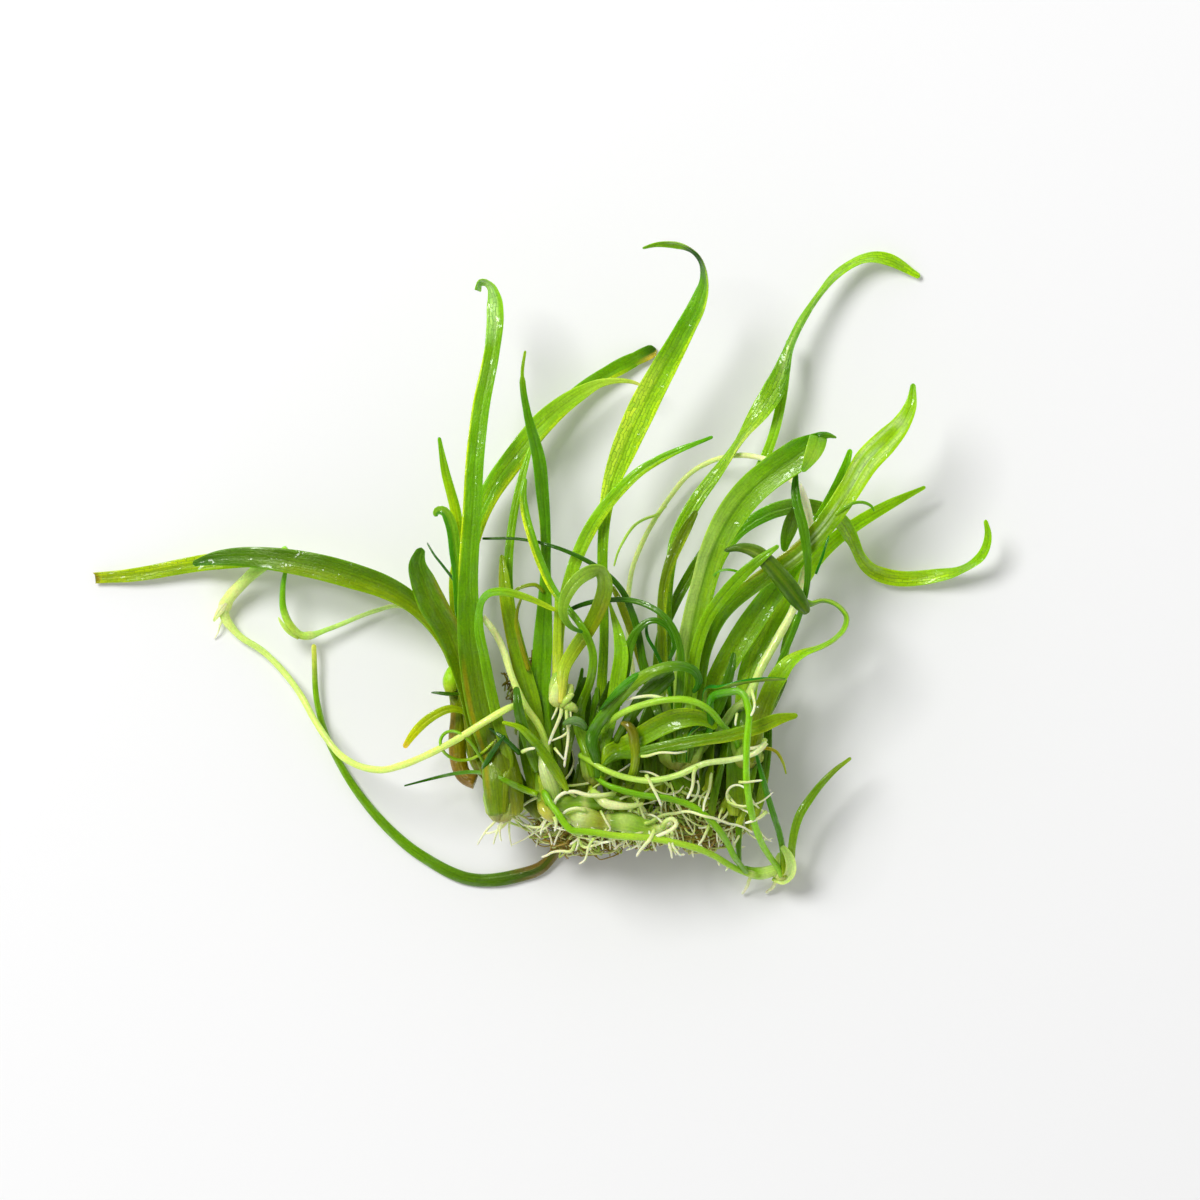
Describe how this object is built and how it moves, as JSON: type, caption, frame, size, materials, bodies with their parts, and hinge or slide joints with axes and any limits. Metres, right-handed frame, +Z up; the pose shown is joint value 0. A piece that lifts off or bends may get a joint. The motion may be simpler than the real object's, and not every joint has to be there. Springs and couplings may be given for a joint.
{
  "type": "dwarf sagittaria clump",
  "caption": "Small aquarium plant as picked and laid down: strap leaves in rosettes joined by pale runners, with bulbs and a tangle of fine roots.",
  "frame": {"origin": "on the surface the clump lies on, under the middle of its outline seen from above", "axes": "+X along the longest side, from the far left leaf tip to the right one; +Y from the roots towards the leaf tips; +Z up, away from the surface"},
  "size_m": [0.0896, 0.0643, 0.0157],
  "materials": {
    "fresh_leaf": "wet yellow-green leaf, satin gloss",
    "mid_leaf": "wet mid-green leaf, satin gloss",
    "dark_leaf": "wet dark green leaf, glossy",
    "olive_leaf": "olive and brownish older leaf, satin",
    "pale_runner": "pale translucent runner, satin",
    "crown_tissue": "pale green swollen stem, satin",
    "root_tissue": "white and brown fine roots, matt"
  },
  "bodies": {
    "root": {"crown_left": "crown_tissue", "crown_middle": "crown_tissue", "crown_centre": "crown_tissue", "crown_right": "crown_tissue", "crown_far_right": "crown_tissue", "crown_small": "crown_tissue", "crown_offset": "crown_tissue", "roots_left": "root_tissue", "roots_right": "root_tissue", "runner_side_shoot": "pale_runner", "left_leaf_far": "fresh_leaf", "left_leaf_long_back": "mid_leaf", "left_leaf_long_front": "fresh_leaf", "left_leaf_arching": "mid_leaf", "left_leaf_thin": "fresh_leaf", "left_leaf_hooked": "mid_leaf", "left_leaf_short_broad": "olive_leaf", "left_leaf_tall": "mid_leaf", "left_leaf_looped": "mid_leaf", "left_old_stalk": "olive_leaf", "left_leaf_stub": "fresh_leaf", "middle_leaf_slim": "mid_leaf", "middle_leaf_dark": "dark_leaf", "runner_short": "pale_runner", "centre_leaf_tall": "fresh_leaf", "centre_leaf_pointed": "fresh_leaf", "centre_leaf_olive": "olive_leaf", "middle_leaf_wiry": "dark_leaf", "centre_leaf_glossy_arch": "dark_leaf", "centre_leaf_dark_arch": "dark_leaf", "centre_leaf_folded": "olive_leaf", "middle_leaf_long": "mid_leaf", "runner_arching_back": "pale_runner", "right_leaf_narrow": "fresh_leaf", "right_leaf_tall": "fresh_leaf", "right_leaf_olive": "olive_leaf", "right_leaf_bright": "fresh_leaf", "right_leaf_s_curve": "mid_leaf", "right_leaf_upright": "mid_leaf", "right_leaf_long": "olive_leaf", "right_leaf_dark_thin": "dark_leaf", "right_leaf_thick": "mid_leaf", "right_leaf_looped": "dark_leaf", "right_leaf_pointed": "mid_leaf", "front_leaf_short": "dark_leaf", "front_leaf_fine": "dark_leaf", "front_leaf_broad": "mid_leaf", "front_leaf_arch": "dark_leaf", "runner_over_front": "pale_runner", "front_leaf_low_right": "mid_leaf", "middle_leaf_low": "mid_leaf", "rhizome_front": "crown_tissue", "runner_centre": "pale_runner", "runner_front": "mid_leaf", "runner_front_upper": "mid_leaf", "runner_to_offset": "fresh_leaf", "offset_leaf_dark": "dark_leaf", "offset_leaf_pointed": "mid_leaf", "runner_left": "pale_runner", "leaf_low_left": "mid_leaf"}
  },
  "joints": []
}
